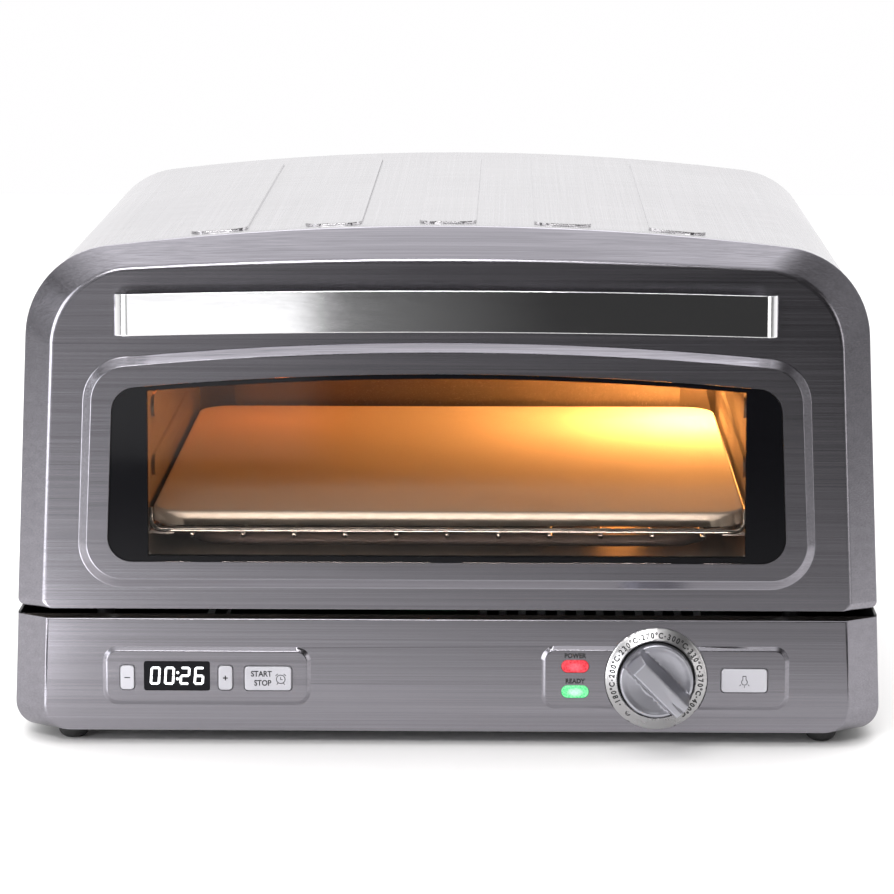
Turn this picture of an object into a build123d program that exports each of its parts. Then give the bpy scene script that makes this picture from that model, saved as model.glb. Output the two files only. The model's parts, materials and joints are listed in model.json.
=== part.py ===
from build123d import *
import math
import os

# Countertop pizza oven, millimetres, +Z up, +X to the right seen from the front, door towards -Y.
# The origin is the centre of the oven's footprint, on the surface it stands on.

# ---- driving dimensions ---------------------------------------------------------------------
body_width = 472.0          # widest, at the bottom of the base
body_back = 213.0           # rear edge of the housing, from the origin
front_y = -203.7            # foot of the leaning front
front_lean = 4.0            # degrees the front leans back
side_lean = 2.1             # degrees each side leans in
foot_height = 8.0
fascia_height = 61.6        # along the front
door_gap = 5.2              # fascia to door
door_height = 206.8
door_depth = 26.0
housing_drop = 2.73         # housing below the top of the door
corner_radius = 50.0        # upper corners of housing and door
arch_radius = 1528.0        # gentle arch of the top
wall_gap = 18.05            # how far the rear spacers stand out

housing_sheet = 0.8
rib_length = 330.0
rib_width = 31.0
rib_rise = 1.2
rib_pitch = 62.5
base_wall = 1.5
base_corner = 13.0
deck_sheet = 1.0
fascia_wall = 2.0
fascia_bevel_depth = 14.0
fascia_bevel_width = 17.4
fascia_edge = 3.0           # rounding between the fascia's face and its bevels
fascia_lip = 1.0            # rounding of its upper edge

rim_width = 15.4            # bevelled rim round the door, at the sides
rim_width_top = 17.6
rim_depth = 11.0
rim_edge = 5.0              # rounding between the rim and the face
rim_corner = 1.5            # rounding of the rim's outer edge
face_corner = 45.0
face_arch_radius = 3000.0
door_skin = 1.6

frame_rise = 3.0            # raised window frame on the door
frame_step = 4.7            # width of its sloping step
frame_edge = 1.3            # rounding of the step's two edges
frame_margin = 36.4         # body side to the frame's lower corner
frame_low = 11.8            # door's lower edge to the frame
frame_drop = 62.2           # door's top to the frame
frame_corner = 24.0
window_arch_radius = 1860.0
glass_margin = 53.0         # body side to the glass
glass_low = 26.2            # door's lower edge to the glass
glass_drop = 78.9           # door's top to the glass
glass_corner = 13.0
glass_thickness = 4.0
glass_recess = 1.0
glass_gap = 0.3
inner_glass_thickness = 3.5
inner_glass_lap = 8.0
inner_window_margin = 71.0
inner_window_low = 23.2
inner_window_drop = 74.6
inner_sheet = 1.0

cavity_margin = 70.0        # body side to cavity side
cavity_low = 19.2           # door's lower edge to the cavity floor
cavity_drop = 50.2          # housing top to the cavity roof
cavity_gap = 35.0           # cavity back wall to the back of the housing
cavity_corner = 12.0
liner_sheet = 0.7
front_frame_gap = 3.5       # closed door to front frame
front_frame_sheet = 1.2
gasket_inset = 2.5
gasket_width = 5.0
gasket_air = 0.4
blanket = 18.0

stone_air = 2.5             # stone to cavity sides
stone_back_air = 11.5
stone_thickness = 8.0
stone_front = -159.5
stone_corner = 20.0
stone_lift = 18.3           # cavity floor to the stone's underside
rack_wire = 3.0
rack_margin = 8.0           # cavity side to the rack's loop
rack_front = -163.5
rack_back_air = 28.0
rack_rod_count = 11
rack_air = 0.3

element_diameter = 6.5
upper_element_drop = 15.0   # below the cavity roof
lower_element_lift = 5.8    # above the cavity floor
rod_gap = 0.1

hinge_margin = 52.0         # body side to hinge
hinge_rise = 8.2            # hinge axis above the door's lower edge
hinge_in = -9.0             # hinge axis behind the door face
pin_radius = 2.5
pin_air = 0.05
arm_width = 4.0
arm_half = 5.0
lug_width = 3.3
lug_air = 0.7
edge_relief = 6.0           # bevel of the door's inner lower edge

handle_margin = 60.0        # body side to the handle's end
handle_drop = 54.0          # door's top to the handle's lower edge
handle_height = 22.0
handle_arch = 2.6
handle_out = 28.5
handle_plate = 3.0
handle_bend = 9.0
handle_foot = 6.0

# controls: distances from the left or right edge of the body, heights from the knob's axis
pad_rise = 1.4
pad_radius = 8.0
pad_flank = 2.3             # width of the pads' sloping edge
pad_edge = 1.5              # rounding at the top of that slope
left_pad = (49.8, 162.8, -15.6, 16.3)
right_pad = (50.5, 184.6, -17.2, 17.7)
minus_key = (59.0, 67.5, -7.5, 6.7)
plus_key = (112.2, 120.8, -7.5, 6.7)
start_stop_key = (126.4, 152.8, -7.7, 6.4)
light_key = (61.9, 87.6, -7.6, 6.2)
display_opening = (72.2, 108.1, -7.6, 8.6)
lens_heights = {"power_lens": 6.7, "ready_lens": -7.2}
lens_from_right = 166.2
lens_length = 15.3
lens_width = 7.2
knob_from_right = 122.4
knob_share = 0.4805         # knob axis as a share of the fascia's height
ring_share = 0.4513         # dial ring radius, likewise
ring_band = 6.8             # width of the dial ring's numbered band
knob_gap = 1.2              # knob to dial ring
knob_out = 27.0
bar_width = 9.0             # grip bar across the knob, at its top
bar_foot_width = 15.0
spindle_radius = 3.0
key_gap = 0.5
key_corner = 2.4            # corners of the key openings
display_corner = 1.4
key_stand = 1.0
key_travel = 1.2
board_depth = 16.0          # fascia face to control board
board_thickness = 1.6

foot_margin = 31.5
foot_front = -186.0
foot_radius = 8.5

# ---- frames and helpers ---------------------------------------------------------------------
half_width = body_width / 2
door_bottom = fascia_height + door_gap
door_top = door_bottom + door_height
side_slope = math.tan(math.radians(side_lean))
lean_sin = math.sin(math.radians(front_lean))
lean_cos = math.cos(math.radians(front_lean))
front_plane = Plane(origin=(0, front_y, foot_height), x_dir=(1, 0, 0), z_dir=(0, -lean_cos, lean_sin))
inner_face = -door_depth
frame_face = inner_face - front_frame_gap
frame_back = frame_face - front_frame_sheet
base_top = foot_height + fascia_height
deck_top = base_top + deck_sheet
housing_top = foot_height + door_top * lean_cos - housing_drop

frame_half = half_width - frame_margin
frame_bottom = door_bottom + frame_low
frame_top = door_top - frame_drop
glass_half = half_width - glass_margin
glass_bottom = door_bottom + glass_low
glass_top = door_top - glass_drop
inner_window_half = half_width - inner_window_margin
inner_window_bottom = door_bottom + inner_window_low
inner_window_top = door_top - inner_window_drop

cavity_half = half_width - cavity_margin
cavity_floor = foot_height + door_bottom + cavity_low
cavity_roof = housing_top - cavity_drop
cavity_back = body_back - cavity_gap
stone_half = cavity_half - stone_air
stone_back = cavity_back - stone_back_air
stone_underside = cavity_floor + stone_lift
rack_half = cavity_half - rack_margin
rack_back = cavity_back - rack_back_air
upper_element_z = cavity_roof - upper_element_drop
lower_element_z = cavity_floor + lower_element_lift
hinge_x = half_width - hinge_margin
hinge_up = door_bottom + hinge_rise
handle_half = half_width - handle_margin
handle_low = door_top - handle_drop

knob_x = half_width - knob_from_right
knob_up = knob_share * fascia_height
lens_x = half_width - lens_from_right
ring_radius = ring_share * fascia_height
ring_inner = ring_radius - ring_band
knob_radius = ring_inner - knob_gap
big = 700.0


def on_front(shape):
    """Moves a shape drawn in the front's own frame: x right, y up the front, z out of it."""
    return front_plane.location * shape


def behind_front(shape, depth):
    """Keeps what lies further in than depth, measured from the front face."""
    keep = Pos(0, big / 4, depth - big / 2) * Box(big, big, big)
    return shape & on_front(keep)


def along_y(face, y_front, y_back):
    """A prism of an upright face (x, z) from y_front to y_back."""
    return extrude(Plane.XZ.offset(-y_back) * face, amount=y_back - y_front)


def slab(bounds, low, high, radius=0.0, grow=0.0):
    """A plate in the front's frame over left, right, low, high, from one depth to another."""
    left, right, bottom, top = bounds
    wide, tall = right - left + 2 * grow, top - bottom + 2 * grow
    outline = RectangleRounded(wide, tall, radius) if radius else Rectangle(wide, tall)
    return extrude(Pos((left + right) / 2, (bottom + top) / 2, low) * outline, amount=high - low)


def from_left(bounds):
    """Bounds given from the body's left edge and the knob's height, in the front's frame."""
    return (bounds[0] - half_width, bounds[1] - half_width, knob_up + bounds[2], knob_up + bounds[3])


def from_right(bounds):
    """The same from the body's right edge."""
    return (half_width - bounds[1], half_width - bounds[0], knob_up + bounds[2], knob_up + bounds[3])


def rounded(points, radii, steps=4):
    """A profile of straight runs whose inner corners are replaced by short chords of an arc."""
    profile = [points[0]]
    for before, corner, after, radius in zip(points, points[1:], points[2:], radii):
        inward, onward = Vector(*before) - Vector(*corner), Vector(*after) - Vector(*corner)
        bend = math.radians(180 - inward.get_angle(onward))
        reach = radius * math.tan(bend / 2)
        start = Vector(*corner) + inward.normalized() * reach
        centre = start + (Vector(*corner) - start).rotate(Axis.Z, 90).normalized() * radius
        if (centre - (Vector(*corner) + onward.normalized() * reach)).length > radius * 1.01:
            centre = start * 2 - centre
        way = 1 if (start - centre).cross(Vector(*corner) - start).Z > 0 else -1
        turn = way * math.degrees(bend) / steps
        for i in range(steps + 1):
            spot = centre + (start - centre).rotate(Axis.Z, turn * i)
            profile.append((spot.X, spot.Y))
    return profile


def rod(x, y, radius, low, high):
    """A round bar along the third axis, from low to high."""
    return Pos(x, y, (low + high) / 2) * Cylinder(radius, high - low)


def arched(half_low, half_high, low, top, arch, radius, low_radius):
    """An upright outline with leaning sides, an arched top and round corners."""
    shoulder = top - arch + math.sqrt(arch ** 2 - half_high ** 2)
    outline = make_face([
        ThreePointArc((-half_high, shoulder), (0, top), (half_high, shoulder)),
        Line((half_high, shoulder), (half_low, low)),
        Line((half_low, low), (-half_low, low)),
        Line((-half_low, low), (-half_high, shoulder)),
    ])
    outline = fillet(outline.vertices().group_by(Axis.Y)[-1], radius)
    if low_radius:
        outline = fillet(outline.vertices().group_by(Axis.Y)[0], low_radius)
    return outline


def side_at(height):
    """Half width of the body at a height above the bottom of the base."""
    return half_width - side_slope * height


def control_outline(inset, narrow, lower=0.0):
    """The fascia's outline in the front's frame."""
    low, top = inset, fascia_height - inset - lower
    wide_low, wide_high = side_at(low) - inset - narrow, side_at(top) - inset - narrow
    corners = Polyline((-wide_low, low), (wide_low, low), (wide_high, top), (-wide_high, top), close=True)
    outline = make_face(corners)
    return fillet(outline.vertices().group_by(Axis.Y)[0], base_corner - inset)


def housing_outline(inset, low):
    """The housing seen from the front; low is where its sides end."""
    top = housing_top - inset
    return arched(side_at(low - foot_height) - inset, side_at(top - foot_height) - inset, low, top,
                  arch_radius, corner_radius - inset, 0)


def rim_outline(share, inset=0.0):
    """The door's outline, from its outer edge (share 0) to the edge of its flat face (share 1)."""
    low, top = door_bottom + inset, door_top - inset
    narrow = rim_width * share + inset
    return arched(side_at(low) - narrow, side_at(top) - narrow, low, top - rim_width_top * share,
                  arch_radius + (face_arch_radius - arch_radius) * share,
                  corner_radius + (face_corner - corner_radius) * share - inset, 4)


def door_room():
    """The room inside the door's skin, open at the back."""
    step = -rim_depth - 0.3 * door_skin
    outer, face = rim_outline(0, door_skin), rim_outline(1, door_skin)
    room = extrude(Pos(0, 0, inner_face - door_skin) * outer, amount=step - inner_face + door_skin)
    front = loft([Pos(0, 0, step) * outer, Pos(0, 0, -door_skin) * face], ruled=True)
    return room + front


def door_bulk():
    """The door's outer form with rounded edges on its rim."""
    profile = rounded([(0, -rim_depth - 3), (0, -rim_depth), (rim_width, 0), (rim_width + 5, 0)],
                      [rim_corner, rim_edge])
    body = extrude(Pos(0, 0, inner_face) * rim_outline(0), amount=profile[0][1] - inner_face)
    sections = [Pos(0, 0, depth) * rim_outline(reach / rim_width) for reach, depth in profile]
    return body + loft(sections, ruled=True)


def glass_outline(grow=0.0):
    """The window's outline in the front's frame."""
    low, top = glass_bottom - grow, glass_top + grow
    rise = side_slope * (top - low)
    return arched(glass_half + grow, glass_half - rise + grow, low, top, window_arch_radius,
                  glass_corner + grow, glass_corner + grow)


def cavity_outline(grow):
    """The cavity seen from the front, in x and z."""
    tall = cavity_roof - cavity_floor + 2 * grow
    wide = 2 * (cavity_half + grow)
    return Pos(0, (cavity_roof + cavity_floor) / 2) * RectangleRounded(wide, tall, cavity_corner + grow)


def cavity_on_front(grow):
    """The same opening in the front's frame."""
    low = (cavity_floor - foot_height) / lean_cos - frame_face * lean_sin / lean_cos
    high = low + (cavity_roof - cavity_floor) / lean_cos
    outline = RectangleRounded(2 * (cavity_half + grow), high - low + 2 * grow, cavity_corner + grow)
    return Pos(0, (low + high) / 2) * outline


def screw(head_radius, head_height, radius, length):
    """A pan-head screw along -Z with the underside of its head at zero."""
    head = Pos(0, 0, head_height / 2) * Cylinder(head_radius, head_height)
    slot = Pos(0, 0, head_height) * Box(head_radius * 1.4, head_radius * 0.3, head_height)
    return head - slot + Pos(0, 0, -length / 2) * Cylinder(radius, length)


parts = {}

# ---- base -----------------------------------------------------------------------------------
foot_x = half_width - foot_margin
foot_back = body_back - foot_margin
foot_spots = [(-foot_x, foot_front), (foot_x, foot_front), (-foot_x, foot_back), (foot_x, foot_back)]
post_half = half_width - 46
deck_posts = [(x, y) for x in (-post_half, post_half) for y in (front_y + 54, body_back - 43)]
gland_x, gland_z, gland_radius = half_width - 68, 36.0, 8.0


def base_outline(inset, top):
    """The base seen from the front, in x and z."""
    low = foot_height + inset
    wide_low, wide_high = side_at(low - foot_height) - inset, side_at(top - foot_height) - inset
    corners = Polyline((-wide_low, low), (wide_low, low), (wide_high, top), (-wide_high, top), close=True)
    outline = make_face(corners)
    return fillet(outline.vertices().group_by(Axis.Y)[0], base_corner - inset)


base_back = body_back - 2.0
tub = along_y(base_outline(0, base_top), front_y - 20, base_back)
tub -= along_y(base_outline(base_wall, base_top + 5), front_y - 30, base_back - base_wall)
fascia_seam = fascia_bevel_depth + 0.5
tub = behind_front(tub, -fascia_seam)
for x, y in deck_posts:
    tub += rod(x, y, 5, foot_height + base_wall, base_top)
    tub -= rod(x, y, 1.55, base_top - 14, base_top)
for x, y in foot_spots:
    tub -= rod(x, y, 3.1, foot_height - 1, foot_height + base_wall + 1)
tub -= Pos(gland_x, base_back, gland_z) * Rot(90, 0, 0) * Cylinder(gland_radius + 0.1, 20)
for x in range(-150, 151, 12):
    tub -= Pos(x, 60, foot_height) * Box(5, 60, 4 * base_wall)
parts["base_tub"] = tub

deck_half = side_at(base_top - foot_height) - 1.0
deck = Pos(0, 0, base_top + deck_sheet / 2) * Box(2 * deck_half, 2 * base_back - 2, deck_sheet)
deck = behind_front(deck, frame_back)
deck -= Pos(0, base_back, base_top) * Box(big, 2, 20)
rail_top = cavity_floor - liner_sheet
rail_long = cavity_back - front_y - 80
rail_y = (cavity_back + front_y + 26) / 2
for x in (46 - cavity_half, cavity_half - 46):
    rail = Pos(x, rail_y, (deck_top + rail_top) / 2) * Box(30, rail_long, rail_top - deck_top)
    rail -= Pos(x, rail_y, (deck_top + rail_top) / 2 - 1) * Box(27.6, rail_long + 10, rail_top - deck_top)
    deck += rail
for x, y in deck_posts:
    deck -= rod(x, y, 1.8, base_top - 1, deck_top + 1)
parts["base_deck"] = deck
parts["deck_screws"] = Compound([Pos(x, y, deck_top) * screw(3.0, 1.8, 1.5, 12) for x, y in deck_posts])

# ---- control fascia -------------------------------------------------------------------------


fascia_profile = rounded([(0, -fascia_seam), (0, -fascia_bevel_depth), (fascia_bevel_width, 0),
                          (fascia_bevel_width + 5, 0)], [0.6, fascia_edge])
sections = []
for reach, depth in fascia_profile:
    rise = max(0.0, depth + fascia_lip)     # the upper edge is rounded over by fascia_lip
    lower = fascia_lip - math.sqrt(fascia_lip ** 2 - rise ** 2)
    sections.append(Pos(0, 0, depth) * control_outline(0, reach, lower))
fascia = loft(sections, ruled=True)
fascia -= loft([Pos(0, 0, -fascia_seam - 1) * control_outline(fascia_wall, -1),
                Pos(0, 0, -fascia_wall) * control_outline(fascia_wall, fascia_bevel_width)], ruled=True)
keys = {"minus": from_left(minus_key), "plus": from_left(plus_key), "start_stop": from_left(start_stop_key),
        "light": from_right(light_key)}
display = from_left(display_opening)
pad_profile = rounded([(0, 0), (pad_flank, pad_rise), (2 * pad_flank, pad_rise)], [pad_edge])
for left, right, low, high in (from_left(left_pad), from_right(right_pad)):
    sections = []
    for inset, depth in [(0, -fascia_wall), *pad_profile]:
        outline = RectangleRounded(right - left - 2 * inset, high - low - 2 * inset, pad_radius - inset)
        sections.append(Pos((left + right) / 2, (low + high) / 2, depth) * outline)
    fascia += loft(sections, ruled=True)
fascia -= rod(knob_x, knob_up, ring_radius + 0.25, 0, 5)
fascia -= rod(knob_x, knob_up, 5.5, -5, 1)
for bounds in keys.values():
    fascia -= slab(bounds, -5, 5, key_corner)
fascia -= slab(display, -5, 5, display_corner)
for height in lens_heights.values():
    fascia -= extrude(Pos(lens_x, knob_up + height, -5) * SlotOverall(lens_length, lens_width), amount=10)
fascia = on_front(fascia)
parts["control_fascia"] = fascia & (Pos(0, 0, foot_height + big / 2) * Box(big, big, big))

knob_spot = Pos(knob_x, knob_up)
ring_profile = make_face(Polyline((8.5, 0), (ring_radius, 0), (ring_radius, 0.8), (ring_radius - 0.5, 1.3),
                                  (ring_radius - 1.4, 1.5), (ring_inner + 0.5, 3.8), (ring_inner, 3.5),
                                  (ring_inner, 0.8), (8.5, 0.8), close=True))
ring = revolve(Plane.XZ * ring_profile, Axis.Z)
parts["dial_ring"] = on_front(knob_spot * ring)

# knob: skirt with a dished face, and a grip bar across it; the bar points down to the right at rest
corners = Polyline((0, 1.6), (knob_radius, 1.6), (knob_radius, 8.8), (knob_radius - 0.6, 9.4),
                   (knob_radius - 1.9, 9.4), (knob_radius - 2.6, 8.9), (0, 7.0), close=True)
skirt_profile = make_face(corners)
knob = revolve(Plane.XZ * skirt_profile, Axis.Z)
bar = loft([Pos(0, 0, 6) * Rectangle(3 * knob_radius, bar_foot_width),
            Pos(0.8 * knob_radius, 0, knob_out) * Rectangle(3 * knob_radius, bar_width)], ruled=True)
bar = bar & rod(0, 0, knob_radius - 0.4, 5, knob_out + 1)
knob += fillet(bar.faces().sort_by(Axis.Z)[-1].edges(), 0.9)
knob -= rod(0, 0, spindle_radius + 0.02, 1, 20)
knob -= Pos(knob_radius - 4.5, 0, knob_out) * Box(8, 1.4, 1.2)
knob_angle = -45.0
parts["temperature_knob"] = on_front(knob_spot * Rot(0, 0, knob_angle) * knob)
parts["knob_spindle"] = on_front(rod(knob_x, knob_up, spindle_radius, -14, 19.8))
pot = rod(knob_x, knob_up, 10, -board_depth, -fascia_wall - 4)
pot -= rod(knob_x, knob_up, spindle_radius + pin_air, -15, 0)
parts["potentiometer"] = on_front(pot)

for name, bounds in keys.items():
    cap = slab(bounds, -fascia_wall - 0.2, pad_rise + key_stand, key_corner - key_gap, -key_gap)
    cap = fillet(cap.faces().sort_by(Axis.Z)[-1].edges(), 0.6)
    flange = slab(bounds, -fascia_wall - 1.6, -fascia_wall - 0.2, 0, 1.6)
    mid_x, mid_y = (bounds[0] + bounds[1]) / 2, (bounds[2] + bounds[3]) / 2
    stem = rod(mid_x, mid_y, 1.8, -board_depth + 3.6 + key_travel + 0.3, -fascia_wall - 1)
    parts[name + "_button"] = on_front(cap + flange + stem)
switches = []
for left, right, low, high in keys.values():
    mid_x, mid_y = (left + right) / 2, (low + high) / 2
    body = slab((mid_x - 3, mid_x + 3, mid_y - 3, mid_y + 3), -board_depth, -board_depth + 3.6)
    switches.append(body)
parts["key_switches"] = on_front(Compound(switches))

parts["display_window"] = on_front(slab(display, -fascia_wall, pad_rise - 0.3, display_corner - 0.2, -0.2))
parts["display_module"] = on_front(slab(display, -board_depth, -fascia_wall, 0, 1.0))
for name, height in lens_heights.items():
    spot = Pos(lens_x, knob_up + height, -fascia_wall)
    lens = extrude(spot * SlotOverall(lens_length - 0.5, lens_width - 0.5),
                   amount=fascia_wall + pad_rise + 0.5)
    lens = fillet(lens.faces().sort_by(Axis.Z)[-1].edges(), 0.5)
    parts[name] = on_front(lens + rod(lens_x, knob_up + height, 2.5, -board_depth, -fascia_wall))
board_half = half_width - 44
board_bounds = (-board_half, board_half, 6, fascia_height - 5.6)
board = slab(board_bounds, -board_depth - board_thickness, -board_depth)
parts["control_board"] = on_front(board)

# ---- electrics in the base ------------------------------------------------------------------
floor = foot_height + base_wall
power = Pos(-60, 60, floor + 8) * Box(150, 90, board_thickness)
for x in (-125, 5):
    for y in (25, 95):
        power += rod(x, y, 3, floor, floor + 8)
board_top = floor + 8 + board_thickness / 2
power += Pos(-15, 45, board_top + 12) * Box(34, 30, 24)     # transformer
parts["power_board"] = power
relays = [Pos(-110 + 34 * i, 70, board_top + 9) * Box(28, 14, 18) for i in range(3)]
parts["relays"] = Compound(relays)
block_x, block_y = gland_x - 48, body_back - 93
block = Pos(block_x, block_y, floor + 9) * Box(50, 22, 18)
for i in (-1, 0, 1):
    block -= rod(block_x + 16 * i, block_y, 3, floor + 12, floor + 19)
parts["terminal_block"] = block
gland = Pos(0, 0, 5) * Cylinder(gland_radius, 22) + Pos(0, 0, -3) * Cylinder(11, 6)
gland += Pos(0, 0, base_wall + 2.5) * Cylinder(10.5, 5)
gland -= Cylinder(4, 60)
parts["cord_gland"] = Pos(gland_x, base_back, gland_z) * Rot(90, 0, 0) * gland

foot_profile = make_face([
    Line((0, 0), (5, 0)),
    ThreePointArc((5, 0), (foot_radius - 0.7, 2.6), (foot_radius, 6)),
    Polyline((foot_radius, 6), (foot_radius, foot_height), (3, foot_height), (3, floor + 2),
             (0, floor + 2), (0, 0)),
])
foot = revolve(Plane.XZ * foot_profile, Axis.Z)
for (x, y), name in zip(foot_spots, ("front_left", "front_right", "rear_left", "rear_right")):
    parts["foot_" + name] = Pos(x, y, 0) * foot

# ---- cavity ---------------------------------------------------------------------------------
liner = along_y(cavity_outline(liner_sheet), front_y - 20, cavity_back + liner_sheet)
liner -= along_y(cavity_outline(0), front_y - 30, cavity_back)
liner = behind_front(liner, frame_back)
cavity_tall = cavity_roof - cavity_floor
emboss = Pos(0, cavity_back - 1.5, (cavity_floor + cavity_roof) / 2 - 3) * Box(2 * cavity_half - 46, 4,
                                                                             cavity_tall - 38)
liner += fillet(emboss.edges().filter_by(Axis.Y), 12)
lamp_y, lamp_z = cavity_back - 60, cavity_roof - 42
lamp_radius = 21.0
wall_rib_front, wall_rib_back = stone_front + 34.5, lamp_y - lamp_radius - 8
for side in (-1, 1):
    for height in (cavity_floor + 0.33 * cavity_tall, cavity_floor + 0.58 * cavity_tall):
        spot = Pos(side * (cavity_half - 0.6), (wall_rib_front + wall_rib_back) / 2, height)
        rib = spot * Box(2.6, wall_rib_back - wall_rib_front, 12)
        liner += fillet(rib.edges().filter_by(Axis.X), 5.5)

element_ends = []


def element_loop(half, front, height):
    """A heating tube that comes out of the back wall, runs round the cavity and goes back."""
    end = cavity_back + liner_sheet + 12
    corners = [(-half, end, height), (-half, front, height), (half, front, height), (half, end, height)]
    path = FilletPolyline(*corners, radius=22)
    section = Plane(origin=(-half, end, height), z_dir=(0, -1, 0)) * Circle(element_diameter / 2)
    for x in (-half, half):
        element_ends.append((x, height))
    return sweep(section, path)


upper_half, lower_half = cavity_half - 34, cavity_half - 24
parts["upper_elements"] = Compound([element_loop(upper_half, -118, upper_element_z),
                                    element_loop(upper_half / 2, -70, upper_element_z)])
parts["lower_elements"] = Compound([element_loop(lower_half, -138, lower_element_z),
                                    element_loop(lower_half / 2, -84, lower_element_z)])

insulators = []
for x, z in element_ends:
    tube = Pos(x, cavity_back + liner_sheet + 4, z) * Rot(90, 0, 0) * Cylinder(6.5, 8)
    tube -= Pos(x, cavity_back, z) * Rot(90, 0, 0) * Cylinder(element_diameter / 2 + rod_gap, 60)
    insulators.append(tube)
    liner -= Pos(x, cavity_back, z) * Rot(90, 0, 0) * Cylinder(element_diameter / 2 + rod_gap, 30)
parts["element_insulators"] = Compound(insulators)

clips = []
clip_back = cavity_back - 88
for half, height, wall, front in ((upper_half, upper_element_z, cavity_roof, -40),
                                  (upper_half, upper_element_z, cavity_roof, clip_back),
                                  (lower_half, lower_element_z, cavity_floor, -40),
                                  (lower_half, lower_element_z, cavity_floor, clip_back)):
    for x in (-half, half):
        low, high = sorted((wall, height))
        stem = Pos(x, front, (low + high) / 2) * Box(9, 5, high - low)
        ring = Pos(x, front, height) * Rot(90, 0, 0) * Cylinder(element_diameter / 2 + 1.3, 5)
        bore = Pos(x, front, height) * Rot(90, 0, 0) * Cylinder(element_diameter / 2 + rod_gap, 9)
        room = Pos(x, front, (cavity_floor + cavity_roof) / 2) * Box(20, 20, cavity_tall)
        clips.append((stem + ring - bore) & room)
parts["element_clips"] = Compound(clips)

lamp_axis = Pos(cavity_half, lamp_y, lamp_z) * Rot(0, 90, 0)
liner -= lamp_axis * Cylinder(17, 12)
parts["lamp_lens"] = lamp_axis * Pos(0, 0, -1.5) * Cylinder(lamp_radius, 3)
cup = Pos(0, 0, liner_sheet + 14) * Cylinder(20, 28) - Pos(0, 0, liner_sheet + 12.5) * Cylinder(18.5, 25)
cup += Pos(0, 0, liner_sheet + 23) * Cylinder(9, 6)
parts["lamp_holder"] = lamp_axis * cup
bulb = Pos(0, 0, liner_sheet + 13) * Cylinder(6, 14) + Pos(0, 0, liner_sheet + 6) * Sphere(6)
parts["lamp_bulb"] = lamp_axis * bulb

probe_x, probe_z = upper_half - 36, cavity_roof - 23
probe_spot = Pos(probe_x, cavity_back + liner_sheet, probe_z) * Rot(90, 0, 0)
liner -= probe_spot * Cylinder(2.2, 30)
parts["temperature_probe"] = probe_spot * (Cylinder(2, 60) + Pos(0, 0, -2) * Cylinder(6, 4))
parts["cavity_liner"] = liner
cutout_z = cavity_roof + liner_sheet
cutout = Cylinder(8, 10) + Pos(0, 0, -4.25) * Box(32, 10, 1.5)
parts["thermal_cutout"] = Pos(-40, 60, cutout_z + 5) * cutout

# blankets: one over the roof and down both sides, one behind the back wall
wrap_wool = along_y(cavity_outline(liner_sheet + blanket), front_y, cavity_back + liner_sheet)
wrap_wool -= along_y(cavity_outline(liner_sheet), front_y - 10, cavity_back + 10)
wrap_wool -= Pos(0, 0, cavity_floor - 50) * Box(big, big, 104)
wrap_wool = behind_front(wrap_wool, frame_back)
wrap_wool -= lamp_axis * Cylinder(lamp_radius, 90)
wrap_wool -= Pos(-40, 60, cutout_z + 10) * Box(36, 24, 40)
wool_spot = Pos(0, cavity_back + liner_sheet + 5, (cavity_roof + cavity_floor) / 2)
back_wool = wool_spot * Box(2 * cavity_half, 10, cavity_tall + 20)
for x, z in element_ends + [(probe_x, probe_z)]:
    back_wool -= Pos(x, cavity_back, z) * Rot(90, 0, 0) * Cylinder(7, 60)
parts["insulation_blankets"] = Compound([wrap_wool, back_wool])

# front frame between the housing and the cavity, and the gasket on it
sill = (base_top - foot_height - frame_face * lean_sin) / lean_cos + 0.2
sheet_in = housing_sheet + 0.3
front_frame = arched(side_at(sill) - sheet_in, side_at(door_top) - sheet_in, sill,
                     door_top - housing_sheet - 2, arch_radius, corner_radius - 2, 0)
front_frame = extrude(Pos(0, 0, frame_back) * front_frame, amount=front_frame_sheet)
front_frame -= extrude(Pos(0, 0, frame_back - 5) * cavity_on_front(0), amount=20)
parts["cavity_front_frame"] = on_front(front_frame)
gasket = extrude(Pos(0, 0, frame_face) * cavity_on_front(gasket_inset + gasket_width),
                 amount=front_frame_gap - gasket_air)
gasket -= extrude(Pos(0, 0, frame_face - 1) * cavity_on_front(gasket_inset), amount=20)
parts["door_gasket"] = on_front(gasket)

# ---- housing --------------------------------------------------------------------------------
housing_low = deck_top + 0.2
housing_front = frame_face + 1.5
wrap = along_y(housing_outline(0, housing_low), front_y - 10, body_back)
rib_skin = along_y(housing_outline(-rib_rise, housing_low), front_y, body_back)
for i in range(-2, 3):
    spot = Pos(rib_pitch * i, body_back - 197, housing_top - 28)
    plan = extrude(spot * RectangleRounded(rib_width, rib_length, 9), amount=60)
    wrap += plan & rib_skin
inner = housing_outline(housing_sheet, housing_low)
inner += Pos(0, housing_low) * Rectangle(2 * (side_at(housing_low - foot_height) - housing_sheet), 10)
lip_y = body_back - 3.6
wrap -= along_y(inner, front_y - 20, lip_y)
lip = housing_outline(housing_sheet + 11, housing_low + 9)
wrap -= along_y(lip, lip_y - 1, body_back + 5)
panel_y = lip_y + 1.2
wrap -= along_y(inner, panel_y, body_back + 5)
wrap -= Pos(0, lip_y, housing_low) * Box(2 * half_width - 40, 8, 8)
wrap = behind_front(wrap, housing_front)
panel = housing_outline(housing_sheet + 0.2, housing_low + 0.5)
rear_sheet = 1.0
rear = along_y(panel, panel_y, panel_y + rear_sheet)
slot_pitch = 13.0
for x in (-110, 0, 110):
    for i in range(-3, 4):
        rear -= Pos(x, panel_y, (housing_low + housing_top) / 2 - 15 + slot_pitch * i) * Box(80, 10, 4)
rear_screw_spots = [(0, housing_top - 9.6)]
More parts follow.
